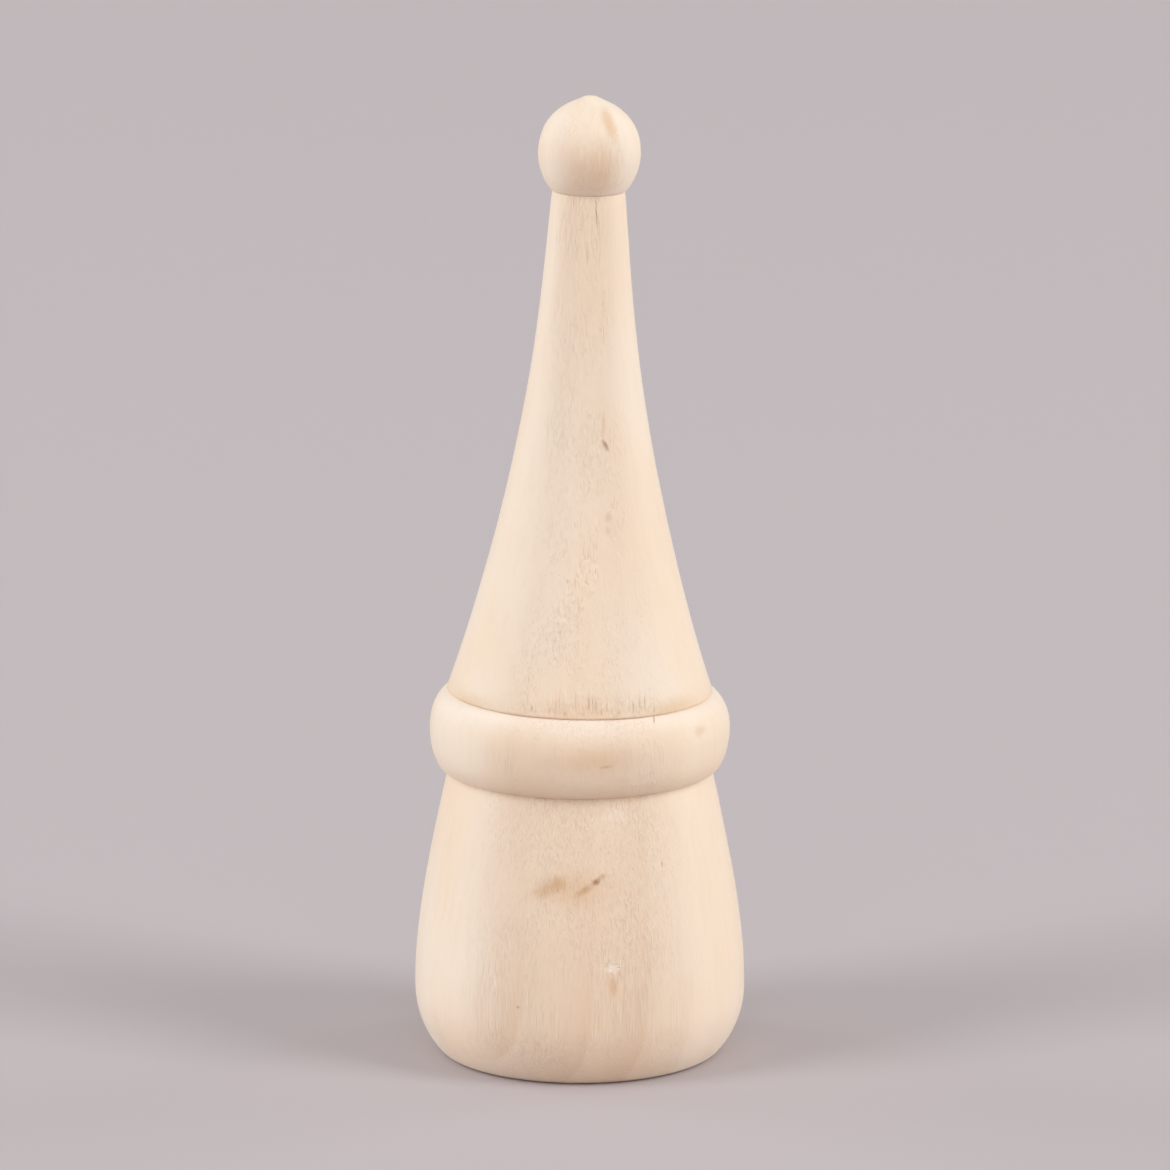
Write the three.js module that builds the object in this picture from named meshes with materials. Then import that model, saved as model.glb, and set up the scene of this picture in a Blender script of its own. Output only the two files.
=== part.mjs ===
// A turned gnome figure of raw pale wood: a round body, a rolled hat brim, a tall leaning hat and a bobble.
// Each piece is turned by itself. Two dowels, glued into blind holes, hold the stack together.
// Millimetres, +Z up. The origin is the middle of the flat foot, and the front faces -Y.
import * as THREE from 'three';

// Body
const bodyHeight = 30;
const bellyRadius = 17.05;
const bellyHeight = 6.85;
const bellyReach = 5;
const footInset = 2.95;
const shoulderRadius = 13.6;
const shoulderSlope = 12.6;
const shoulderReach = 13;

// Brim
const brimHeight = 8.1;
const brimRadius = 15.45;
const brimWidestHeight = 4.3;
const brimUnderInset = 1.7;
const brimTopInset = 2.55;

// Hat
const hatHeight = 52;
const hatLean = 1;
const hemRadius = 13.63;
const hemCurl = 0.45;
const hemRise = 0.4;
const hemSlope = 18.2;
const hemReach = 29.1;
const neckRadius = 3.7;
const neckSlope = 7.4;
const neckReach = 5.4;

// Bobble, a ball whose top runs to a blunt point
const bobbleHeight = 9.6;
const bobbleRadius = 5.23;
const bobbleWidestHeight = 3.95;
const bobbleOverhang = 0.1;
const tipRise = 0.25;
const tipConeRadius = 2.4;
const tipFlatRadius = 0.7;
const tipFlatDrop = 0.06;

// Dowels and the holes they are glued into
const glueLine = 0.1;
const holeClearance = 0.15;
const holeSpare = 0.8;
const drillPointAngle = 118;
const hatDowel = { radius: 4, flutes: 16, fluteDepth: 0.3, chamfer: 0.6 };
const hatDowelInBody = 12;
const hatDowelInHat = 10;
const bobbleDowel = { radius: 1.5, flutes: 8, fluteDepth: 0.15, chamfer: 0.3 };
const bobbleDowelInHat = 5;
const bobbleDowelInBobble = 4.5;
const fluteShare = 0.35;

// Raw sanded wood, each piece from a stick of its own
const woods = {
  body: { color: '#ecd9c0', roughness: 0.72 },
  brim: { color: '#efdcc4', roughness: 0.7 },
  hat: { color: '#eedbc2', roughness: 0.72 },
  bobble: { color: '#ead5ba', roughness: 0.7 },
  hat_dowel: { color: '#dcb88c', roughness: 0.65 },
  bobble_dowel: { color: '#d9b489', roughness: 0.65 },
};

// Facets
const turnSteps = 48;
const curveSteps = 10;
const samePoint = 1e-6;

const footRadius = bellyRadius - footInset;
const brimBottom = bodyHeight + glueLine;
const brimTop = brimBottom + brimHeight;
const hemSeatRadius = hemRadius - hemCurl;
const lean = THREE.MathUtils.degToRad(hatLean);
const hatSeat = brimTop + glueLine;
const bobbleSeat = hatHeight + glueLine;
const bobbleSeatRadius = neckRadius + bobbleOverhang;
const hatDowelHole = hatDowel.radius + holeClearance;
const bobbleDowelHole = bobbleDowel.radius + holeClearance;
// The dowel stands plumb, so the leaning hat's hole is opened up by how far it leans along the dowel.
const hatSocket = hatDowelHole + hatDowelInHat * Math.tan(lean);

// A named piece with a material of its own.
function piece(name, geometry) {
  const material = new THREE.MeshStandardMaterial({ ...woods[name], metalness: 0 });
  const mesh = new THREE.Mesh(geometry, material);
  mesh.name = name;
  return mesh;
}

// How deep the cone is that a drill leaves at the bottom of a hole.
function drillPoint(radius) {
  return radius / Math.tan(THREE.MathUtils.degToRad(drillPointAngle / 2));
}

// The points of an outline: straight stretches keep their ends only, curves get an even number of steps.
function outlinePoints(outline) {
  const points = [];
  for (const curve of outline.curves) {
    const steps = curve.isLineCurve ? 1 : curveSteps;
    for (const point of curve.getPoints(steps)) {
      const last = points.at(-1);
      if (!last || last.distanceTo(point) > samePoint) points.push(point);
    }
  }
  return points;
}

// Turns a half section, drawn upwards as radius and height, about the Z axis.
function turned(outline) {
  const geometry = new THREE.LatheGeometry(outlinePoints(outline), turnSteps);
  geometry.rotateX(Math.PI / 2);
  return geometry;
}

// A cubic curve that leaves (r0, z0) and meets (r1, z1) at set slopes, each in degrees inwards from upright.
function sweepTo(outline, [r0, z0, slope0, reach0], [r1, z1, slope1, reach1]) {
  const out = THREE.MathUtils.degToRad(slope0);
  const back = THREE.MathUtils.degToRad(slope1);
  outline.bezierCurveTo(
    r0 - reach0 * Math.sin(out), z0 + reach0 * Math.cos(out),
    r1 + reach1 * Math.sin(back), z1 - reach1 * Math.cos(back),
    r1, z1,
  );
}

// A blind hole from a top face down to the drill's point on the axis.
function drillDown(outline, radius, top, depth) {
  outline.lineTo(radius, top);
  outline.lineTo(radius, top - depth);
  outline.lineTo(0, top - depth - drillPoint(radius));
}

// A blind hole from the drill's point on the axis down to a bottom face at height 0.
function drillUp(outline, radius, depth) {
  outline.moveTo(0, depth + drillPoint(radius));
  outline.lineTo(radius, depth);
  outline.lineTo(radius, 0);
}

// The body: flat foot, round-over up to the belly, and a long curve in to the shoulder.
function makeBody() {
  const roundRadius = (footInset ** 2 + bellyHeight ** 2) / (2 * footInset);
  const roundStart = Math.atan2(-bellyHeight, roundRadius - footInset);
  const outline = new THREE.Path();
  outline.moveTo(0, 0);
  outline.lineTo(footRadius, 0);
  outline.absarc(bellyRadius - roundRadius, bellyHeight, roundRadius, roundStart, 0, false);
  sweepTo(
    outline,
    [bellyRadius, bellyHeight, 0, bellyReach],
    [shoulderRadius, bodyHeight, shoulderSlope, shoulderReach],
  );
  drillDown(outline, hatDowelHole, bodyHeight, hatDowelInBody + holeSpare);
  return piece('body', turned(outline));
}

// The top of the brim isn't quite square to the body: it drops towards +X, which is why the hat leans.
function cutOutOfSquare(geometry) {
  const points = geometry.attributes.position;
  for (let i = 0; i < points.count; i += 1) {
    const height = points.getZ(i);
    const share = Math.max(0, (height - brimWidestHeight) / (brimHeight - brimWidestHeight));
    points.setZ(i, height - share * points.getX(i) * Math.tan(lean));
  }
  geometry.computeVertexNormals();
}

// The brim: a ring with a rolled edge, fuller below than above, and a top that the hat sits flat on.
function makeBrim() {
  const underRadius = brimRadius - brimUnderInset;
  const topRadius = brimRadius - brimTopInset;
  const upper = brimHeight - brimWidestHeight;
  const outline = new THREE.Path();
  outline.moveTo(hatDowelHole, 0);
  outline.lineTo(underRadius, 0);
  outline.absellipse(underRadius, brimWidestHeight, brimUnderInset, brimWidestHeight, -Math.PI / 2, 0, false);
  outline.absellipse(topRadius, brimWidestHeight, brimTopInset, upper, 0, Math.PI / 2, false);
  outline.lineTo(hatDowelHole, brimHeight);
  outline.lineTo(hatDowelHole, 0);
  const ring = turned(outline);
  cutOutOfSquare(ring);
  const brim = piece('brim', ring);
  brim.position.z = brimBottom;
  return brim;
}

// The hat: a hem with a small round under it down to the seat, and hollow sides up to the thin neck.
function makeHat() {
  const outline = new THREE.Path();
  drillUp(outline, hatSocket, hatDowelInHat + holeSpare);
  outline.lineTo(hemSeatRadius, 0);
  outline.absellipse(hemSeatRadius, hemRise, hemCurl, hemRise, -Math.PI / 2, 0, false);
  sweepTo(
    outline,
    [hemRadius, hemRise, hemSlope, hemReach],
    [neckRadius, hatHeight, neckSlope, neckReach],
  );
  drillDown(outline, bobbleDowelHole, hatHeight, bobbleDowelInHat + holeSpare);
  return piece('hat', turned(outline));
}

// The bobble: the lower ball meets the neck at its seat, the upper one runs into a shallow cone and a nib.
function makeBobble() {
  const lower = bobbleWidestHeight / Math.sqrt(1 - (bobbleSeatRadius / bobbleRadius) ** 2);
  const upper = bobbleHeight - bobbleWidestHeight - tipRise;
  const seatAngle = -Math.acos(bobbleSeatRadius / bobbleRadius);
  const coneAngle = Math.acos(tipConeRadius / bobbleRadius);
  const outline = new THREE.Path();
  drillUp(outline, bobbleDowelHole, bobbleDowelInBobble + holeSpare);
  outline.lineTo(bobbleSeatRadius, 0);
  outline.absellipse(0, bobbleWidestHeight, bobbleRadius, lower, seatAngle, 0, false);
  outline.absellipse(0, bobbleWidestHeight, bobbleRadius, upper, 0, coneAngle, false);
  outline.lineTo(tipFlatRadius, bobbleHeight - tipFlatDrop);
  outline.lineTo(0, bobbleHeight);
  const bobble = piece('bobble', turned(outline));
  bobble.position.z = bobbleSeat;
  return bobble;
}

// A dowel with straight flutes for the glue and chamfered ends, standing on height 0.
function dowelGeometry({ radius, flutes, fluteDepth, chamfer }, length) {
  const pitch = (2 * Math.PI) / flutes;
  const points = [];
  const addPoint = (distance, angle) => {
    points.push(new THREE.Vector2(Math.cos(angle), Math.sin(angle)).multiplyScalar(distance));
  };
  for (let i = 0; i < flutes; i += 1) {
    const start = i * pitch;
    addPoint(radius, start);
    addPoint(radius, start + pitch * (1 - fluteShare));
    addPoint(radius - fluteDepth, start + pitch * (1 - fluteShare / 2));
  }
  const outline = new THREE.Shape(points);
  const geometry = new THREE.ExtrudeGeometry(outline, {
    depth: length - 2 * chamfer,
    steps: 1,
    bevelEnabled: true,
    bevelSegments: 1,
    bevelThickness: chamfer,
    bevelSize: chamfer,
    bevelOffset: -chamfer,
  });
  geometry.translate(0, 0, chamfer);
  return geometry;
}

// The hat dowel stands plumb in the body, runs through the brim and ends inside the hat.
function makeHatDowel() {
  const length = hatDowelInBody + (hatSeat - bodyHeight) + hatDowelInHat;
  const dowel = piece('hat_dowel', dowelGeometry(hatDowel, length));
  dowel.position.z = bodyHeight - hatDowelInBody;
  return dowel;
}

function makeBobbleDowel() {
  const length = bobbleDowelInHat + glueLine + bobbleDowelInBobble;
  const dowel = piece('bobble_dowel', dowelGeometry(bobbleDowel, length));
  dowel.position.z = hatHeight - bobbleDowelInHat;
  return dowel;
}

// The hat, its bobble and the small dowel between them lean together, to the right seen from the front.
const leaningHat = new THREE.Group();
leaningHat.position.z = hatSeat;
leaningHat.rotation.y = lean;
leaningHat.add(makeHat(), makeBobble(), makeBobbleDowel());

const gnome = new THREE.Group();
gnome.name = 'gnome';
gnome.add(makeBody(), makeBrim(), makeHatDowel(), leaningHat);

export default gnome;
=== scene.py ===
import math
import random

import bpy
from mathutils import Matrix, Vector


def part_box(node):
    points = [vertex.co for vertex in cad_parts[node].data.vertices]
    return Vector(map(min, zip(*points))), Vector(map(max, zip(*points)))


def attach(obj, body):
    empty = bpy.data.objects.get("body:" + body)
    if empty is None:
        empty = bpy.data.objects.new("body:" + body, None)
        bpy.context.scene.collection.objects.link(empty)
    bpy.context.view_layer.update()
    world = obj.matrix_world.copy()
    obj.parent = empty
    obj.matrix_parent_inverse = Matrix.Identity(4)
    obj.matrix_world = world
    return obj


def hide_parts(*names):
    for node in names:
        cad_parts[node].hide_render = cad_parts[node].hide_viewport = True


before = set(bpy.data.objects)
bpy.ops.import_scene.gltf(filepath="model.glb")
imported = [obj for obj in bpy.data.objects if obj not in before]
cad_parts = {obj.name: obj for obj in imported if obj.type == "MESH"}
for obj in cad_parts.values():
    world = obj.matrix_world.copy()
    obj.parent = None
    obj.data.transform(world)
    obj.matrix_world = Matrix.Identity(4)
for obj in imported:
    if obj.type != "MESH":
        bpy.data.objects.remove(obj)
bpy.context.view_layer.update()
mm = 0.001
print("frame loaded, nodes:", ", ".join(sorted(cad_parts)))

# The joints are drawn nearly closed: each piece takes most of its half of the glue line
joint = {"glueLine": 0.1, "seam": 0.02}
closing = (joint["glueLine"] - joint["seam"]) / 2


# Outlines are lists of (radius, height) in millimetres
def straight(points, r, z, step):
    startR, startZ = points[-1]
    count = max(1, math.ceil(math.hypot(r - startR, z - startZ) / step))
    for i in range(1, count + 1):
        points.append((startR + (r - startR) * i / count, startZ + (z - startZ) * i / count))


def rounded(points, middle, across, fromDeg, toDeg, step):
    turn = math.radians(toDeg - fromDeg)
    count = max(3, math.ceil(abs(turn) * max(across) / step))
    for i in range(1, count + 1):
        a = math.radians(fromDeg) + turn * i / count
        points.append((middle[0] + across[0] * math.cos(a), middle[1] + across[1] * math.sin(a)))


# A cubic curve from the last point to the end, with slopes in degrees inwards from upright
def swept(points, slope, reach, end, endSlope, endReach, step):
    start = points[-1]
    a, b = math.radians(slope), math.radians(endSlope)
    corners = [
        start,
        (start[0] - reach * math.sin(a), start[1] + reach * math.cos(a)),
        (end[0] + endReach * math.sin(b), end[1] - endReach * math.cos(b)),
        end,
    ]
    count = max(3, math.ceil(math.dist(start, end) / step))
    for i in range(1, count + 1):
        t = i / count
        shares = ((1 - t) ** 3, 3 * (1 - t) ** 2 * t, 3 * (1 - t) * t ** 2, t ** 3)
        points.append(tuple(sum(s * c[k] for s, c in zip(shares, corners)) for k in (0, 1)))


lathe = {
    "wallStep": 6,  # along the walls of hidden holes
    "pointStep": 9,  # along the cones at their ends
    "weld": 0.004,  # points nearer than this become one
}


# The lathe: a point is drawn along the outline by extruding it, then spun about the Z axis
def turnOnLathe(name, outline, facets):
    bpy.ops.object.select_all(action="DESELECT")
    bpy.ops.mesh.primitive_plane_add(size=mm, location=(0, 0, 0))
    piece = bpy.context.object
    piece.name = name
    piece.data.name = name
    bpy.ops.object.mode_set(mode="EDIT")
    bpy.ops.mesh.select_mode(type="VERT")
    bpy.ops.mesh.select_all(action="SELECT")
    bpy.ops.mesh.merge(type="CENTER")
    bpy.ops.transform.translate(value=(outline[0][0] * mm, 0, outline[0][1] * mm))
    for here, there in zip(outline, outline[1:]):
        move = ((there[0] - here[0]) * mm, 0, (there[1] - here[1]) * mm)
        bpy.ops.mesh.extrude_region_move(TRANSFORM_OT_translate={"value": move})
    bpy.ops.mesh.select_all(action="SELECT")
    bpy.ops.mesh.spin(steps=facets, angle=2 * math.pi, center=(0, 0, 0), axis=(0, 0, 1))
    bpy.ops.mesh.select_all(action="SELECT")
    bpy.ops.mesh.remove_doubles(threshold=lathe["weld"] * mm)
    bpy.ops.mesh.normals_make_consistent(inside=False)
    bpy.ops.object.mode_set(mode="OBJECT")
    return piece


def takeUp(piece):
    bpy.ops.object.select_all(action="DESELECT")
    piece.select_set(True)
    bpy.context.view_layer.objects.active = piece


# Cuts the faces whose middle is wanted into finer ones
def refine(piece, wanted, cuts):
    takeUp(piece)
    bpy.ops.object.mode_set(mode="EDIT")
    bpy.ops.mesh.select_mode(type="FACE")
    bpy.ops.mesh.select_all(action="DESELECT")
    bpy.ops.object.mode_set(mode="OBJECT")
    for face in piece.data.polygons:
        face.select = wanted(face.center / mm)
    bpy.ops.object.mode_set(mode="EDIT")
    bpy.ops.mesh.subdivide(number_cuts=cuts)
    bpy.ops.object.mode_set(mode="OBJECT")


leastShare = 0.001  # below this the skin stays as it is


# Presses the skin in along its normals, by the depth times a share of 0 to 1 worked out for each place
def press(piece, depth, share, lumps=None):
    takeUp(piece)
    group = piece.vertex_groups.new(name="share")
    for vertex in piece.data.vertices:
        weight = share(vertex.co / mm)
        if weight > leastShare:
            group.add([vertex.index], min(1.0, weight), "REPLACE")
    bpy.ops.object.modifier_add(type="DISPLACE")
    work = piece.modifiers[-1]
    work.vertex_group = "share"
    work.strength = -depth * mm
    work.mid_level = 0
    if lumps:
        work.mid_level = 0.5
        work.texture = lumps["clouds"]
        work.texture_coords = "OBJECT"
        work.texture_coords_object = lumps["ruler"]
    bpy.ops.object.modifier_apply(modifier=work.name)
    piece.vertex_groups.clear()


# Uneven skin: cloud noise whose lumps have the given size in millimetres
def roughen(piece, depth, lump, share):
    clouds = bpy.data.textures.new("lumps", "CLOUDS")
    clouds.noise_scale = 1.0
    bpy.ops.object.empty_add(location=(0, 0, 0))
    ruler = bpy.context.object
    ruler.scale = Vector(lump) * mm
    bpy.context.view_layer.update()
    press(piece, depth, share, {"clouds": clouds, "ruler": ruler})
    bpy.data.objects.remove(ruler)
    bpy.data.textures.remove(clouds)


crispAngle = 50  # steeper edges aren't smoothed over


def finishPiece(piece, node, material):
    takeUp(piece)
    bpy.ops.object.shade_smooth_by_angle(angle=math.radians(crispAngle))
    piece.data.materials.append(material)
    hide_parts(node)
    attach(piece, "root")
    print(piece.name, "finished, faces:", len(piece.data.polygons))


# A smooth step from 0 at low to 1 at high
def fadeIn(value, low, high):
    t = min(1.0, max(0.0, (value - low) / (high - low)))
    return t * t * (3 - 2 * t)


# A shape is the height of the wave and how fast it runs
def wave(shape, t):
    return shape[0] * math.sin(shape[1] * t)


# Shader maths: a socket that can be added, multiplied and so on
class Flow:
    def __init__(self, tree, socket=None):
        self.tree = tree
        self.socket = socket

    def node(self, kind, settings=None, inputs=None, output=0):
        made = self.tree.nodes.new(kind)
        for key, value in (settings or {}).items():
            setattr(made, key, value)
        for key, value in (inputs or {}).items():
            if isinstance(value, Flow):
                self.tree.links.new(value.socket, made.inputs[key])
            else:
                made.inputs[key].default_value = value
        return Flow(self.tree, made.outputs[output]) if made.outputs else None

    def maths(self, operation, *values):
        return self.node("ShaderNodeMath", {"operation": operation}, dict(enumerate(values)))

    def __add__(self, other):
        return self.maths("ADD", self, other)

    def __radd__(self, other):
        return self.maths("ADD", other, self)

    def __sub__(self, other):
        return self.maths("SUBTRACT", self, other)

    def __rsub__(self, other):
        return self.maths("SUBTRACT", other, self)

    def __mul__(self, other):
        return self.maths("MULTIPLY", self, other)

    def __rmul__(self, other):
        return self.maths("MULTIPLY", other, self)

    def __truediv__(self, other):
        return self.maths("DIVIDE", self, other)

    def rise(self, low, high):
        settings = {"interpolation_type": "SMOOTHSTEP"}
        return self.node("ShaderNodeMapRange", settings, {0: self, 1: low, 2: high})

    # 0 to 1 becomes least to 1
    def atLeast(self, least):
        return self * (1 - least) + least

    def mix(self, first, second):
        return self.node("ShaderNodeMix", {"data_type": "RGBA"}, {0: self, 6: first, 7: second}, 2)

    def noise(self, stretch, detail, offset):
        place = self.node("ShaderNodeMapping", {}, {0: self, "Location": offset, "Scale": stretch})
        return self.node("ShaderNodeTexNoise", {}, {"Vector": place, "Scale": 1.0, "Detail": detail})


def srgb(red, green, blue):
    def linear(c):
        c = c / 255
        return c / 12.92 if c <= 0.04045 else ((c + 0.055) / 1.055) ** 2.4

    return (linear(red), linear(green), linear(blue), 1.0)


def newMaterial(name):
    material = bpy.data.materials.new(name)
    material.use_nodes = True
    material.node_tree.nodes.clear()
    return material, Flow(material.node_tree)


# Where a point of the surface is, in millimetres in the frame of the figure
def millimetres(wood):
    metres = wood.node("ShaderNodeTexCoord", output="Object")
    return wood.node("ShaderNodeVectorMath", {"operation": "SCALE"}, {0: metres, "Scale": 1000.0})


# A stain or knot in millimetres and degrees. Its core is the share of its size that has full strength.
def stain(at, size, colour, strength, turn=0, core=0.1, ragged=0.7):
    return {
        "at": at,
        "size": size,
        "colour": colour,
        "strength": strength,
        "turn": turn,
        "core": core,
        "ragged": ragged,
    }


# Where a stain shows: full strength at its core, 0 outside, with an edge that follows the fibres
def markMask(wood, place, ragged, mark):
    inputs = {
        0: place,
        "Location": mark["at"],
        "Rotation": (0, math.radians(mark["turn"]), 0),
        "Scale": mark["size"],
    }
    spot = wood.node("ShaderNodeMapping", {"vector_type": "TEXTURE"}, inputs)
    away = wood.node("ShaderNodeVectorMath", {"operation": "LENGTH"}, {0: spot}, 1)
    return (away + ragged * mark["ragged"]).rise(1.0, mark["core"]) * mark["strength"]


# The grain that all four pieces share. Noise sizes are per millimetre.
grain = {
    "drift": (0.10, 0.10, 0.03),
    "driftEdges": (0.35, 0.65),
    "streak": (1.1, 1.1, 0.04),
    "streakEdges": (0.45, 0.75),
    "streakDepth": 0.09,
    "streakRelief": 0.3,
    "streakRagged": 0.8,
    "patch": (0.22, 0.22, 0.10),
    "frontEdges": (0.6, 0.05),
    "evenFuzz": 0.15,
    "sideFuzz": 0.1,
    "ringWander": 2.0,
    "ringDarkens": (0.2, 1.0),
    "ringEnds": (1.0, 0.93),
    "sideRings": 0.15,
    "highRings": 0.35,
    "sunkEdges": (0.52, 0.68),
    "sunkColour": 0.65,
    "sunkRelief": 0.8,
    "liftedEdges": (0.53, 0.68),
    "bumpHeight": 0.1,
    "roughness": 0.6,
    "sunkRoughness": 0.15,
    "specular": 0.3,
    "sheenRoughness": 0.35,
}


# Raw sanded wood with its fibres upright. The faces towards -Y and +Y were cut along the growth rings,
# so their fibres stand up a little, and the faces towards -X and +X are smoother.
# The faces towards -Y and +Y are also tinted warmer and darker than the sides. This is painted shade,
# standing in for the weaker light that the side lamps give them.
def rawWood(name, look):
    material, wood = newMaterial(name)
    place = millimetres(wood)
    shift = look["shift"]
    drift = place.noise(grain["drift"], 1.0, shift)
    streak = place.noise(grain["streak"], 2.0, shift)
    sunk = place.noise(look["strokes"], 2.0, shift)
    lifted = place.noise(look["strokes"], 2.0, shift[::-1])
    patch = place.noise(grain["patch"], 2.0, shift[::-1]).rise(*look["patches"])

    squares = wood.node("ShaderNodeVectorMath", {"operation": "MULTIPLY"}, {0: place, 1: place})
    sideways = wood.node("ShaderNodeSeparateXYZ", {}, {0: squares}, 0)
    forwards = wood.node("ShaderNodeSeparateXYZ", {}, {0: squares}, 1)
    front = (sideways / (sideways + forwards + 0.01)).rise(*grain["frontEdges"])
    fuzz = front * patch.atLeast(grain["evenFuzz"]) + grain["sideFuzz"]

    # growth rings are nearly flat sheets at this size; each darkens slowly and ends at a clear edge
    along = {0: place, 1: look["ringAcross"]}
    across = wood.node("ShaderNodeVectorMath", {"operation": "DOT_PRODUCT"}, along, 1)
    ring = (across + drift * grain["ringWander"] - look["ringStart"]) / look["ringWidth"]
    turn = ring.maths("FRACT", ring)
    late = turn.rise(*grain["ringDarkens"]) * turn.rise(*grain["ringEnds"])
    late = late * front.atLeast(grain["sideRings"])
    level = wood.node("ShaderNodeSeparateXYZ", {}, {0: place}, 2)
    late = late * level.rise(*look["ringFade"]).atLeast(grain["highRings"])

    sunkMask = sunk.rise(*grain["sunkEdges"]) * fuzz
    liftedMask = lifted.rise(*grain["liftedEdges"]) * fuzz
    colour = drift.rise(*grain["driftEdges"]).mix(look["pale"], look["warm"])
    # painted shade: the faces towards -Y and +Y are tinted towards the darker, warmer front colour
    colour = (front * look["frontShadeDepth"]).mix(colour, look["front"])
    colour = (late * look["ringDepth"]).mix(colour, look["late"])
    colour = (streak.rise(*grain["streakEdges"]) * grain["streakDepth"]).mix(colour, look["late"])
    # sunk fibres are drawn darker and lifted ones paler: partly their own tone, partly painted shade
    # and highlight
    colour = (sunkMask * look["fibreDepth"] * grain["sunkColour"]).mix(colour, look["late"])
    colour = (liftedMask * look["fibreDepth"]).mix(colour, look["light"])
    ragged = (sunk - lifted) + (streak - 0.5) * grain["streakRagged"]
    for mark in look["marks"]:
        colour = markMask(wood, place, ragged, mark).mix(colour, mark["colour"])

    height = liftedMask - sunkMask * grain["sunkRelief"] + streak * grain["streakRelief"]
    bump = {"Strength": look["relief"], "Distance": grain["bumpHeight"] * mm, "Height": height}
    surface = {
        "Base Color": colour,
        "Roughness": grain["roughness"] + sunk * grain["sunkRoughness"],
        "Specular IOR Level": grain["specular"],
        "Sheen Weight": look["sheen"],
        "Sheen Roughness": grain["sheenRoughness"],
        "Normal": wood.node("ShaderNodeBump", {}, bump),
    }
    shader = wood.node("ShaderNodeBsdfPrincipled", {}, surface)
    wood.node("ShaderNodeOutputMaterial", {}, {"Surface": shader})
    return material


# What a piece may change in its own look
paleWood = {
    "pale": srgb(243, 227, 208),
    "warm": srgb(241, 220, 196),
    "front": srgb(236, 206, 178),
    "light": srgb(248, 236, 220),
    "late": srgb(222, 188, 156),
    "ringAcross": (0.7645, 0.6384, -0.088),
    "ringWidth": 5.2,
    "ringDepth": 0.16,
    "ringFade": (14, 6),
    "frontShadeDepth": 0.25,
    "fibreDepth": 0.35,
    "strokes": (5.6, 5.6, 0.38),
    "patches": (0.42, 0.62),
    "relief": 0.5,
    "sheen": 0.3,
}
knotBrown = srgb(160, 112, 74)
softBrown = srgb(206, 166, 124)
paleBrown = srgb(222, 184, 146)
# colour of the painted shade at the ends of the hat's hem
hemShadeBrown = srgb(216, 178, 126)
# pale white of chips and torn fibres, also used for the painted highlight on the brim top
chipAndHighlightWhite = srgb(250, 238, 226)


# Body
body = {
    "facets": 320,
    "step": 0.33,
    "footInset": 2.95,
    "footEdge": 0.7,
    "bellyHeight": 6.85,
    "bellyReach": 5,
    "shoulderRadius": 13.6,
    "shoulderSlope": 12.6,
    "shoulderReach": 13,
    "shoulderEdge": 0.12,
    "hole": 4.15,
    "holeDepth": 12.8,
    "drillPoint": 2.5,
    "footStep": 1.2,
    "edgeStep": 0.1,
    "arrisStep": 0.05,
    "seatStep": 3,
    "unevenness": 0.16,
    "lump": (7, 7, 11),
    "plainRim": 3,  # foot and shoulder stay even
    "plainWall": 4,  # and so does the hole
    "chip": {
        "at": (3.28, 12.99),
        "size": (0.75, 0.5),
        "depth": 0.07,
        "slant": 0.3,
        "waveAcross": (0.15, 9),
        "waveUp": (0.2, 7),
        "reach": 1.2,
        "rim": 0.6,
        "cutReach": 2,
        "cuts": 3,
    },
}
bodyLook = {
    **paleWood,
    "shift": (3.1, 0.4, 1.7),
    "ringStart": -19.6,
    "ringDepth": 0.4,
    "frontShadeDepth": 0.6,
    "fibreDepth": 0.5,
    "relief": 0.55,
    "strokes": (7.0, 7.0, 0.2),
    "patches": (0.25, 0.65),
    "marks": [
        stain((-13, -10, 11), (7, 9, 10), chipAndHighlightWhite, 0.4, core=0),
        stain((-0.8, -15.4, 21.0), (5.5, 4, 2.8), paleBrown, 0.5, core=0),
        stain((-2.2, -15.2, 21.5), (1.4, 3, 1.2), softBrown, 0.7),
        stain((-3.4, -15.0, 20.8), (1.9, 3, 0.9), softBrown, 0.5, turn=-25),
        stain((1.6, -15.2, 21.7), (0.7, 3, 0.5), knotBrown, 0.9, turn=-35),
        stain((2.2, -15.1, 22.2), (0.8, 3, 0.45), softBrown, 0.6, turn=-35),
        stain((0.5, -15.5, 20.9), (1.5, 3, 0.6), softBrown, 0.85, turn=-35),
        stain((3.28, -16.4, 13.0), (0.95, 3, 0.7), chipAndHighlightWhite, 0.6),
        stain((3.4, -16.5, 11.1), (0.8, 3, 1.6), paleBrown, 0.7, turn=-12),
        stain((4.0, -13.2, 28.4), (3.4, 3, 1.3), chipAndHighlightWhite, 0.35, ragged=2.0),
        stain((-6.29, -15.81, 8.71), (0.22, 2, 0.28), knotBrown, 0.6),
        stain((8.38, -12.56, 22.91), (0.14, 2, 0.5), softBrown, 0.8),
    ],
}


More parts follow.
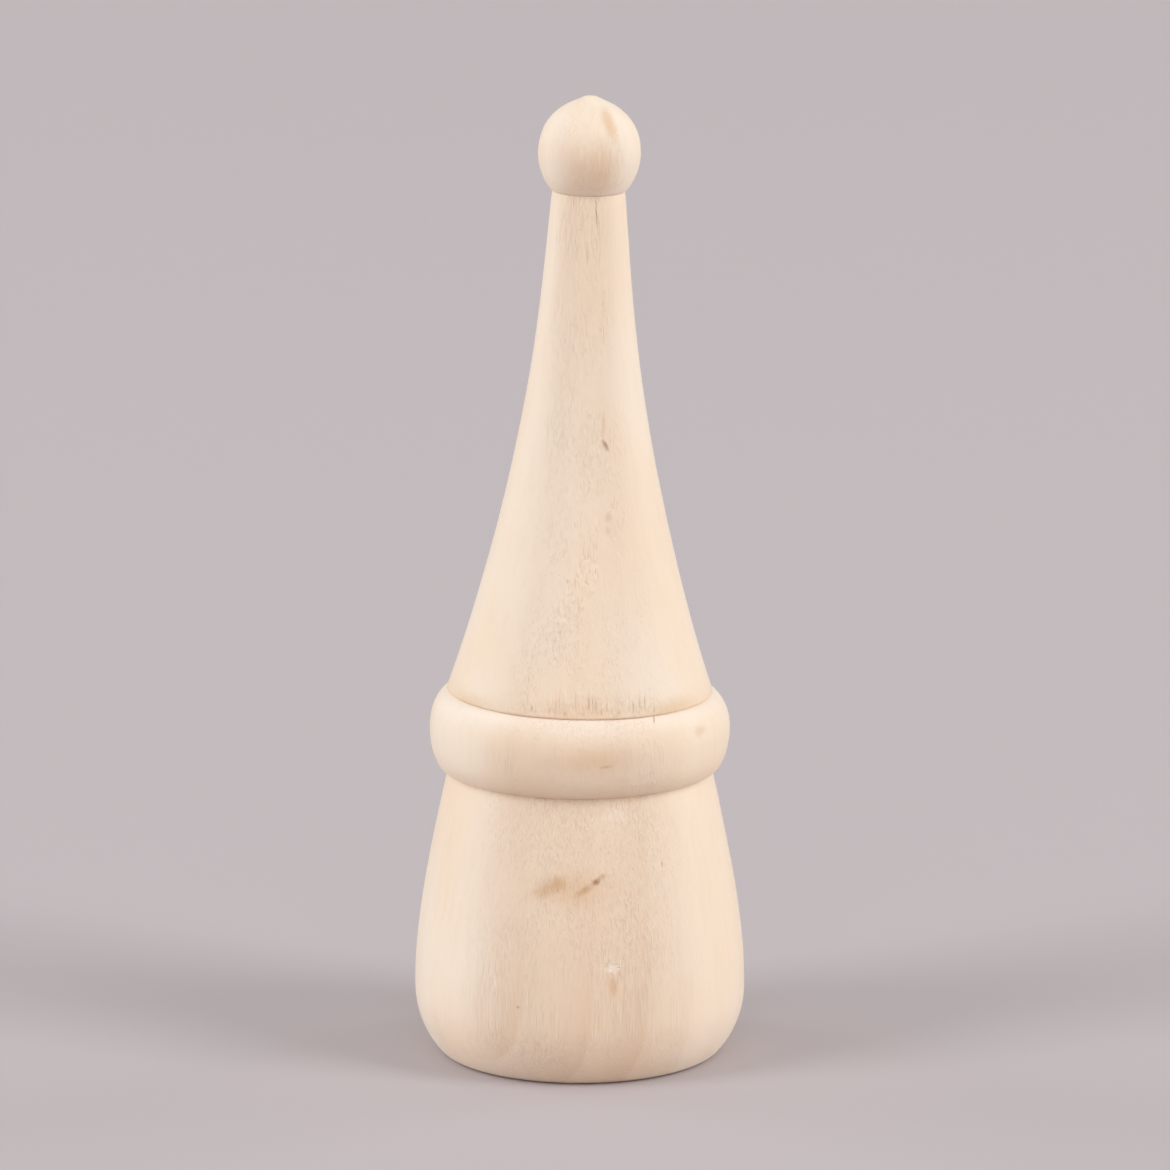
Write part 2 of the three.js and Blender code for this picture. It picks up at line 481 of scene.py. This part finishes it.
def makeBody():
    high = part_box("body")[1]
    belly, top = high.x / mm, high.z / mm + closing
    inset, rise, step = body["footInset"], body["bellyHeight"], body["step"]
    sweep = (inset ** 2 + rise ** 2) / (2 * inset)
    edge, arris = body["footEdge"], body["shoulderEdge"]
    start = math.degrees(math.atan2(-rise, sweep - inset) + edge / sweep)
    aside = math.radians(start)
    footEnd = (belly - sweep + sweep * math.cos(aside), rise + sweep * math.sin(aside))
    outline = [(0, 0)]
    straight(outline, belly - inset - edge, 0, body["footStep"])
    swept(outline, -90, edge / 2, footEnd, start, edge / 2, body["edgeStep"])
    rounded(outline, (belly - sweep, rise), (sweep, sweep), start, 0, step)
    shoulder = (body["shoulderRadius"], top - arris)
    swept(outline, 0, body["bellyReach"], shoulder, body["shoulderSlope"], body["shoulderReach"], step)
    arrisEnd = (shoulder[0] - arris, top)
    swept(outline, body["shoulderSlope"], arris / 2, arrisEnd, 90, arris / 2, body["arrisStep"])
    straight(outline, body["hole"], top, body["seatStep"])
    straight(outline, body["hole"], top - body["holeDepth"], lathe["wallStep"])
    straight(outline, 0, top - body["holeDepth"] - body["drillPoint"], lathe["pointStep"])
    piece = turnOnLathe("turned_body", outline, body["facets"])

    def skin(p):
        outside = math.hypot(p.x, p.y) > body["hole"] + body["plainWall"]
        rim = body["plainRim"]
        return fadeIn(p.z, 0, rim) * fadeIn(top - p.z, 0, rim) if outside else 0

    roughen(piece, body["unevenness"], body["lump"], skin)
    chip = body["chip"]

    def chipPlace(p):
        return (p.x - chip["at"][0]) / chip["size"][0], (p.z - chip["at"][1]) / chip["size"][1]

    def chipShare(p):
        across, up = chipPlace(p)
        aside = across + chip["slant"] * up + wave(chip["waveAcross"], up)
        inside = chip["reach"] - math.hypot(aside, up + wave(chip["waveUp"], across))
        return fadeIn(inside, 0, chip["rim"]) if p.y < 0 else 0

    def nearChip(p):
        return p.y < 0 and max(map(abs, chipPlace(p))) < chip["cutReach"]

    refine(piece, nearChip, chip["cuts"])
    press(piece, chip["depth"], chipShare)
    return piece


finishPiece(makeBody(), "body", rawWood("raw_body_wood", bodyLook))


# Brim
brim = {
    "facets": 288,
    "step": 0.25,
    "height": 8.2,
    "widest": 4.3,
    "underInset": 1.7,
    "topInset": 2.55,
    "topTilt": 1.0,
    "seatStep": 1,
    "holeStep": 3,
    "unevenness": 0.12,
    "lump": (6, 6, 4),
    "plainTop": 1.2,  # the seats stay even
    "plainUnder": 1,
}
brimLook = {
    **paleWood,
    "shift": (8.3, 5.2, 2.9),
    "ringStart": -13.3,
    "ringWidth": 6.2,
    "ringDepth": 0.3,
    "frontShadeDepth": 0.5,
    "marks": [
        stain((1.5, -15.2, 34.4), (7, 5, 2.6), paleBrown, 0.55, core=0, ragged=0.4),
        # painted highlight: the top of the brim, which faces the light above, is drawn paler
        stain((0, 0, 38.6), (40, 40, 3.0), chipAndHighlightWhite, 0.65, core=0, ragged=0.2),
        # painted shade: the lower part of the brim, which faces down, is drawn darker
        stain((0, 0, 30), (40, 40, 3.6), paleBrown, 0.4, core=0, ragged=0.3),
        stain((12.26, -9.01, 35.99), (0.9, 2, 0.9), softBrown, 0.35),
        stain((2.66, -15.19, 33.75), (0.9, 2, 0.25), softBrown, 0.6, turn=-8),
        stain((7.54, -11.79, 37.82), (0.15, 2, 0.5), knotBrown, 0.6),
    ],
}
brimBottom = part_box("brim")[0].z / mm - closing
brimTop = brimBottom + brim["height"] + 2 * closing


# The upper rings of the brim are tipped a little, so that its top drops towards +X and the hat leans
def tipRings(piece, widest):
    rings = {}
    for vertex in piece.data.vertices:
        if vertex.co.z / mm > widest + lathe["weld"]:
            rings.setdefault(round(vertex.co.z / mm, 3), []).append(vertex.index)
    takeUp(piece)
    bpy.ops.object.mode_set(mode="EDIT")
    bpy.ops.mesh.select_mode(type="VERT")
    for height, ring in rings.items():
        bpy.ops.mesh.select_all(action="DESELECT")
        bpy.ops.object.mode_set(mode="OBJECT")
        for index in ring:
            piece.data.vertices[index].select = True
        bpy.ops.object.mode_set(mode="EDIT")
        tip = math.radians(brim["topTilt"]) * (height - widest) / (brimTop - widest)
        bpy.ops.transform.rotate(value=-tip, orient_axis="Y", center_override=(0, 0, height * mm))
    bpy.ops.object.mode_set(mode="OBJECT")


def makeBrim():
    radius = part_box("brim")[1].x / mm
    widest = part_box("brim")[0].z / mm + brim["widest"]
    under, over = radius - brim["underInset"], radius - brim["topInset"]
    outline = [(body["hole"], brimBottom)]
    straight(outline, under, brimBottom, brim["seatStep"])
    rounded(outline, (under, widest), (brim["underInset"], widest - brimBottom), -90, 0, brim["step"])
    rounded(outline, (over, widest), (brim["topInset"], brimTop - widest), 0, 90, brim["step"])
    straight(outline, body["hole"], brimTop, brim["seatStep"])
    straight(outline, body["hole"], brimBottom, brim["holeStep"])
    piece = turnOnLathe("rolled_brim", outline, brim["facets"])
    tipRings(piece, widest)

    def skin(p):
        outer = fadeIn(math.hypot(p.x, p.y) - over, 0, brim["plainTop"])
        return outer * fadeIn(p.z - brimBottom, 0, brim["plainUnder"])

    roughen(piece, brim["unevenness"], brim["lump"], skin)
    return piece


finishPiece(makeBrim(), "brim", rawWood("raw_brim_wood", brimLook))


# Hat, drawn upright on its own seat and then leaned over
hat = {
    "facets": 200,
    "step": 0.36,
    "lean": 1.0,
    "height": 51.9,
    "hemRadius": 13.63,
    "hemCurl": 0.12,
    "hemRise": 0.05,
    "hemSlope": 18.2,
    "hemReach": 29.1,
    "neckRadius": 3.7,
    "neckSlope": 7.4,
    "neckReach": 5.4,
    "neckEdge": 0.05,
    "socket": 4.325,
    "socketDepth": 10.8,
    "socketPoint": 2.6,
    "pinHole": 1.65,
    "pinDepth": 5.8,
    "pinPoint": 1.0,
    "seatStep": 1,
    "lipSteps": 4,
    "curlStep": 0.05,
    "edgeStep": 0.04,
    "unevenness": 0.12,
    "lump": (6, 6, 13),
    "plainHem": (0.3, 2.5),  # hem, neck and holes stay even
    "plainNeck": 2,
    "socketWall": (5, 6),
    "pinWall": (2.2, 2.8),
    "pinFrom": 20,  # above this height the hole is the pin's
    "tears": [
        {"seed": 11, "count": 56, "across": (-5.8, 7.8), "feet": (38.4, 39.1), "fall": 0.0126,
         "tallest": 3.2, "widest": 0.16, "depth": 0.12, "cuts": 4},
        {"seed": 5, "count": 90, "across": (-2.8, 1.8), "feet": (48.2, 54), "fall": -1.8,
         "tallest": 2.2, "widest": 0.18, "depth": 0.1, "cuts": 3},
        {"seed": 8, "count": 54, "across": (-2.4, 2.6), "feet": (69, 88), "fall": 0,
         "tallest": 3.2, "widest": 0.14, "depth": 0.07, "cuts": 1},
    ],
    "sliver": {
        "margin": (0.3, 0.2),  # beside and below
        "shortest": 0.25,
        "shortBias": 1.5,
        "narrowest": 0.4,
        "shallowest": 0.25,
        "footFade": 0.15,
        "tipFade": 0.7,
    },
    "pit": {
        "at": (2.6, 65.1),
        "half": (0.28, 0.75),
        "slant": 0.49,
        "depth": 0.16,
        "rim": 0.8,
        "cutReach": 1.4,
        "cuts": 3,
    },
    "crack": {
        "top": (1.6, 90.2),
        "bottom": (1.8, 85.9),
        "half": 0.07,
        "depth": 0.07,
        "wave": (0.05, 5),
        "topFade": (-0.02, 0.1),
        "endFade": 0.6,
        "cutReach": (0.6, 0.3),  # beside and below
        "cuts": 1,
    },
}
hatLook = {
    **paleWood,
    "shift": (1.2, 9.1, 4.4),
    "ringStart": -12.0,
    "ringWidth": 6.5,
    "ringDepth": 0.12,
    "marks": [
        # painted shade: the lowest 2 mm of the hat, the crease where it meets the brim and both ends
        # of the hem are drawn darker
        stain((0, 0, 38.3), (40, 40, 2.4), paleBrown, 0.25, turn=1, core=0),
        stain((0, 0, 38.2), (40, 40, 0.45), softBrown, 0.4, turn=1, ragged=0.3),
        stain((9.5, -9.6, 38.5), (6, 6, 1.5), hemShadeBrown, 0.45, core=0, ragged=0.3),
        stain((-11.2, -7.6, 38.7), (5, 5, 1.3), hemShadeBrown, 0.35, core=0, ragged=0.3),
        stain((1.0, -12.5, 39.3), (8.5, 6, 1.9), softBrown, 0.12, ragged=1.6),
        stain((2.6, -6.4, 65.1), (0.4, 3, 0.9), knotBrown, 0.45, turn=-24),
        stain((2.4, -6.1, 67.2), (0.3, 3, 2.2), softBrown, 0.35),
        stain((2.87, -7.87, 57.97), (0.5, 3, 0.6), softBrown, 0.35),
        stain((2.87, -8.18, 56.68), (0.5, 3, 0.5), softBrown, 0.3),
        stain((1.7, -3.8, 88.4), (0.12, 2, 2.0), softBrown, 0.6, turn=-3),
        stain((0.03, -3.93, 86.93), (0.4, 2, 0.12), softBrown, 0.5),
    ],
}
hatSeat = brimTop + joint["seam"]
hatTop = hat["height"] + 2 * closing


def leanOver(piece):
    takeUp(piece)
    foot = (0, 0, hatSeat * mm)
    bpy.ops.object.mode_set(mode="EDIT")
    bpy.ops.mesh.select_all(action="SELECT")
    bpy.ops.transform.translate(value=foot)
    bpy.ops.transform.rotate(value=-math.radians(hat["lean"]), orient_axis="Y", center_override=foot)
    bpy.ops.object.mode_set(mode="OBJECT")


# Fibres that the turning tool tore on the front: upright grooves, and slivers that stand up
def tearFibres(piece, tears):
    chance = random.Random(tears["seed"])
    sliver = hat["sliver"]
    left, right = tears["across"]
    lowest = tears["feet"][0] - sliver["margin"][1]
    highest = tears["feet"][1] + tears["tallest"]

    def strokes():
        made = []
        for _ in range(tears["count"]):
            stroke = {"x": chance.uniform(left, right)}
            share = chance.uniform(sliver["shortest"], 1.0) ** sliver["shortBias"]
            stroke["height"] = tears["tallest"] * share
            stroke["foot"] = chance.uniform(*tears["feet"]) - tears["fall"] * stroke["x"]
            stroke["half"] = tears["widest"] * chance.uniform(sliver["narrowest"], 1.0)
            stroke["depth"] = chance.uniform(sliver["shallowest"], 1.0)
            made.append(stroke)
        return made

    def torn(p):
        beside = left - sliver["margin"][0] < p.x < right + sliver["margin"][0]
        return p.y < 0 and beside and lowest < p.z + tears["fall"] * p.x < highest

    def strokeShare(p, made):
        deepest = 0
        for stroke in made if torn(p) else []:
            aside = abs(p.x - stroke["x"]) / stroke["half"]
            up = (p.z - stroke["foot"]) / stroke["height"]
            if aside < 1 and 0 < up < 1:
                ends = fadeIn(up, 0, sliver["footFade"]) * fadeIn(1 - up, 0, sliver["tipFade"])
                deepest = max(deepest, stroke["depth"] * (1 - aside * aside) * ends)
        return deepest

    grooves, slivers = strokes(), strokes()
    refine(piece, torn, tears["cuts"])
    press(piece, tears["depth"], lambda p: strokeShare(p, grooves))
    press(piece, -tears["depth"], lambda p: strokeShare(p, slivers))


# A slanting pit on the front and a hairline crack under the bobble
def dentHat(piece):
    pit, crack = hat["pit"], hat["crack"]

    def pitShare(p):
        across, up = p.x - pit["at"][0], p.z - pit["at"][1]
        away = math.hypot((across + pit["slant"] * up) / pit["half"][0], up / pit["half"][1])
        return fadeIn(1 - away, 0, pit["rim"]) if p.y < 0 else 0

    def crackShare(p):
        along = (crack["top"][1] - p.z) / (crack["top"][1] - crack["bottom"][1])
        middle = crack["top"][0] + (crack["bottom"][0] - crack["top"][0]) * along
        aside = abs(p.x - middle - wave(crack["wave"], p.z)) / crack["half"]
        ends = fadeIn(along, *crack["topFade"]) * fadeIn(1 - along, 0, crack["endFade"])
        return fadeIn(1 - aside, 0, 1) * ends if p.y < 0 else 0

    def nearPit(p):
        return p.y < 0 and max(abs(p.x - pit["at"][0]), abs(p.z - pit["at"][1])) < pit["cutReach"]

    def nearCrack(p):
        along = crack["bottom"][1] - crack["cutReach"][1] < p.z < crack["top"][1]
        return p.y < 0 and along and abs(p.x - crack["top"][0]) < crack["cutReach"][0]

    refine(piece, nearPit, pit["cuts"])
    press(piece, pit["depth"], pitShare)
    refine(piece, nearCrack, crack["cuts"])
    press(piece, crack["depth"], crackShare)


def makeHat():
    seat = hat["hemRadius"] - hat["hemCurl"]
    neck, edge = hat["neckRadius"], hat["neckEdge"]
    outline = [(0, hat["socketDepth"] + hat["socketPoint"])]
    straight(outline, hat["socket"], hat["socketDepth"], lathe["pointStep"])
    straight(outline, hat["socket"], 0, lathe["wallStep"])
    # near the hem the seat follows the rounding of the brim down
    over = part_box("brim")[1].x / mm - brim["topInset"]
    upper = brim["height"] - brim["widest"]
    straight(outline, over, 0, hat["seatStep"])
    for i in range(1, hat["lipSteps"] + 1):
        out = (seat - over) * i / hat["lipSteps"]
        outline.append((over + out, upper * (math.sqrt(1 - (out / brim["topInset"]) ** 2) - 1)))
    fall = hat["hemRise"] - outline[-1][1]
    rounded(outline, (seat, hat["hemRise"]), (hat["hemCurl"], fall), -90, 0, hat["curlStep"])
    neckEnd = (neck, hatTop - edge)
    slope, reach = hat["neckSlope"], hat["neckReach"]
    swept(outline, hat["hemSlope"], hat["hemReach"], neckEnd, slope, reach, hat["step"])
    swept(outline, slope, edge / 2, (neck - edge, hatTop), 90, edge / 2, hat["edgeStep"])
    straight(outline, hat["pinHole"], hatTop, hat["seatStep"])
    straight(outline, hat["pinHole"], hatTop - hat["pinDepth"], lathe["wallStep"])
    straight(outline, 0, hatTop - hat["pinDepth"] - hat["pinPoint"], lathe["pointStep"])
    piece = turnOnLathe("tall_hat", outline, hat["facets"])

    def skin(p):
        wall = hat["pinWall"] if p.z > hat["pinFrom"] else hat["socketWall"]
        outer = fadeIn(math.hypot(p.x, p.y), *wall)
        return fadeIn(p.z, *hat["plainHem"]) * fadeIn(hatTop - p.z, 0, hat["plainNeck"]) * outer

    roughen(piece, hat["unevenness"], hat["lump"], skin)
    leanOver(piece)
    for tears in hat["tears"]:
        tearFibres(piece, tears)
    dentHat(piece)
    return piece


finishPiece(makeHat(), "hat", rawWood("raw_hat_wood", hatLook))


# Bobble, a ball whose top runs to a blunt point
bobble = {
    "facets": 192,
    "step": 0.16,
    "height": 9.6,
    "radius": 5.23,
    "widest": 3.95,
    "overhang": 0.1,
    "seatEdge": 0.05,
    "tipRise": 0.25,
    "tipCone": 2.4,
    "tipFlat": 0.7,
    "tipDrop": 0.06,
    "pinDepth": 5.3,
    "seatStep": 0.5,
    "edgeStep": 0.05,
    "edgeTurn": 1.5,
    "unevenness": 0.12,
    "lump": (4, 4, 4),
    "plainSeat": (0.2, 1.5),  # seat and hole stay even
    "pinWall": (4.2, 4.6),
}
bobbleLook = {
    **paleWood,
    "shift": (6.6, 2.8, 7.3),
    "ringStart": -20.0,
    "ringDepth": 0.12,
    "fibreDepth": 0.2,
    "relief": 0.3,
    "marks": [
        stain((-2.5, -2.5, 98.0), (5, 6, 5), chipAndHighlightWhite, 0.4, core=0),
        stain((-3.2, -3.6, 92.6), (3, 4, 3), chipAndHighlightWhite, 0.4, core=0),
        stain((3.0, -3.2, 97.6), (0.9, 3, 3.3), paleBrown, 0.7, turn=-20, ragged=0.4),
        # painted shade: the lower part of the bobble, which faces down, is drawn darker and browner
        stain((1.6, -4.6, 93.2), (4.4, 5, 4.4), paleBrown, 0.6, core=0),
    ],
}


def makeBobble():
    base = hatTop + joint["seam"]
    top = base + bobble["height"] + closing
    radius, step, edge = bobble["radius"], bobble["step"], bobble["seatEdge"]
    seat = hat["neckRadius"] + bobble["overhang"]
    middle = base + bobble["widest"]
    lower = bobble["widest"] / math.sqrt(1 - (seat / radius) ** 2)
    upper = top - middle - bobble["tipRise"]
    seatDeg = -math.degrees(math.acos(seat / radius))
    coneDeg = math.degrees(math.acos(bobble["tipCone"] / radius))
    outline = [(0, base + bobble["pinDepth"] + hat["pinPoint"])]
    straight(outline, hat["pinHole"], base + bobble["pinDepth"], lathe["wallStep"])
    straight(outline, hat["pinHole"], base, lathe["wallStep"])
    straight(outline, seat - edge, base, bobble["seatStep"])
    straight(outline, seat, base + edge / 2, bobble["edgeStep"])
    rounded(outline, (0, middle), (radius, lower), seatDeg + bobble["edgeTurn"], 0, step)
    rounded(outline, (0, middle), (radius, upper), 0, coneDeg, step)
    straight(outline, bobble["tipFlat"], top - bobble["tipDrop"], step)
    straight(outline, 0, top, step)
    piece = turnOnLathe("hat_bobble", outline, bobble["facets"])

    def skin(p):
        outer = fadeIn(math.hypot(p.x, p.y, p.z - middle), *bobble["pinWall"])
        return fadeIn(p.z - base, *bobble["plainSeat"]) * outer

    roughen(piece, bobble["unevenness"], bobble["lump"], skin)
    leanOver(piece)
    return piece


finishPiece(makeBobble(), "bobble", rawWood("raw_bobble_wood", bobbleLook))


# Dowels, hidden in the glued holes
beech = {
    "pale": srgb(224, 188, 148),
    "warm": srgb(208, 166, 122),
    "dark": srgb(176, 128, 88),
    "fibre": (3.0, 3.0, 0.3),
    "fibreEdges": (0.3, 0.7),
    "fleck": (2.2, 2.2, 0.9),
    "fleckEdges": (0.58, 0.66),
    "fleckDepth": 0.5,
    "roughness": 0.55,
    "fibreRoughness": 0.2,
}


def beechDowel(name):
    material, wood = newMaterial(name)
    place = millimetres(wood)
    fibre = place.noise(beech["fibre"], 2.0, (0, 0, 0))
    fleck = place.noise(beech["fleck"], 1.0, (4, 1, 7)).rise(*beech["fleckEdges"])
    colour = fibre.rise(*beech["fibreEdges"]).mix(beech["pale"], beech["warm"])
    colour = (fleck * beech["fleckDepth"]).mix(colour, beech["dark"])
    roughness = beech["roughness"] + fibre * beech["fibreRoughness"]
    surface = {"Base Color": colour, "Roughness": roughness}
    shader = wood.node("ShaderNodeBsdfPrincipled", {}, surface)
    wood.node("ShaderNodeOutputMaterial", {}, {"Surface": shader})
    return material


for node in ("hat_dowel", "bobble_dowel"):
    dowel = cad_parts[node]
    dowel.data.materials.clear()
    dowel.data.materials.append(beechDowel(node + "_beech"))
print("dowels finished")


# Floor and light
studio = {
    "floorWidth": 40,
    "floor": srgb(192, 184, 186),
    "floorRoughness": 0.9,
    "floorSpecular": 0.1,
    "background": srgb(197, 190, 192),
    "worldLight": 0.45,
    "lampDistance": 6,
    "lampAim": (0, 0, 0.045),
}
lamps = [
    {"name": "left_softbox", "azimuth": -65, "elevation": 28, "size": (2.4, 6.0), "level": 0.53},
    {"name": "right_softbox", "azimuth": 65, "elevation": 28, "size": (2.4, 6.0), "level": 0.6},
    {"name": "front_fill", "azimuth": 0, "elevation": 40, "size": (4.0, 3.0), "level": 0.07},
    {"name": "left_rim_lamp", "azimuth": -115, "elevation": 20, "size": (2.4, 3.2), "level": 0.16},
    {"name": "right_rim_lamp", "azimuth": 115, "elevation": 20, "size": (2.4, 3.2), "level": 0.15},
]


def makeFloor():
    bpy.ops.object.select_all(action="DESELECT")
    bpy.ops.mesh.primitive_plane_add(size=studio["floorWidth"], location=(0, 0, 0))
    floor = bpy.context.object
    floor.name = "studio_floor"
    material, paper = newMaterial("grey_paper")
    surface = {
        "Base Color": studio["floor"],
        "Roughness": studio["floorRoughness"],
        "Specular IOR Level": studio["floorSpecular"],
    }
    shader = paper.node("ShaderNodeBsdfPrincipled", {}, surface)
    paper.node("ShaderNodeOutputMaterial", {}, {"Surface": shader})
    floor.data.materials.append(material)


# Level 1 lights a white face turned to the lamp to full white
def makeLamp(lamp):
    a, e = math.radians(lamp["azimuth"]), math.radians(lamp["elevation"])
    back = Vector((math.sin(a) * math.cos(e), -math.cos(a) * math.cos(e), math.sin(e)))
    place = Vector(studio["lampAim"]) + back * studio["lampDistance"]
    facing = back.to_track_quat("Z", "Y").to_euler()
    bpy.ops.object.light_add(type="AREA", location=place, rotation=facing)
    made = bpy.context.object
    made.name = lamp["name"]
    made.data.shape = "RECTANGLE"
    made.data.size, made.data.size_y = lamp["size"]
    made.data.energy = lamp["level"] * (math.pi * studio["lampDistance"]) ** 2


def lightWorld():
    world = bpy.data.worlds.new("studio_world")
    bpy.context.scene.world = world
    world.use_nodes = True
    world.node_tree.nodes.clear()
    sky = Flow(world.node_tree)
    seen = sky.node("ShaderNodeLightPath", output="Is Camera Ray")
    for ray in ("Is Glossy Ray", "Is Transmission Ray"):
        seen = seen.maths("MAXIMUM", seen, sky.node("ShaderNodeLightPath", output=ray))
    white = (1, 1, 1, 1)
    soft = sky.node("ShaderNodeBackground", {}, {"Color": white, "Strength": studio["worldLight"]})
    plain = sky.node("ShaderNodeBackground", {}, {"Color": studio["background"], "Strength": 1.0})
    both = sky.node("ShaderNodeMixShader", {}, {0: seen, 1: soft, 2: plain})
    sky.node("ShaderNodeOutputWorld", {}, {"Surface": both})


makeFloor()
lightWorld()
for lamp in lamps:
    makeLamp(lamp)
print("floor and lamps set")


# Camera, at the photograph's viewing angle
view = {
    "lens": 258.46,
    "sensor": 36,
    "pitch": 12.8,
    "distance": 0.8621,
    "aim": (0.000534, 0, 0.049205),
}


def makeCamera():
    pitch = math.radians(view["pitch"])
    back = Vector((0, -math.cos(pitch), math.sin(pitch)))
    place = Vector(view["aim"]) + back * view["distance"]
    bpy.ops.object.camera_add(location=place, rotation=(math.pi / 2 - pitch, 0, 0))
    camera = bpy.context.object
    camera.data.lens = view["lens"]
    camera.data.sensor_width = view["sensor"]
    bpy.context.scene.camera = camera


makeCamera()
bpy.context.scene.view_settings.view_transform = "Standard"
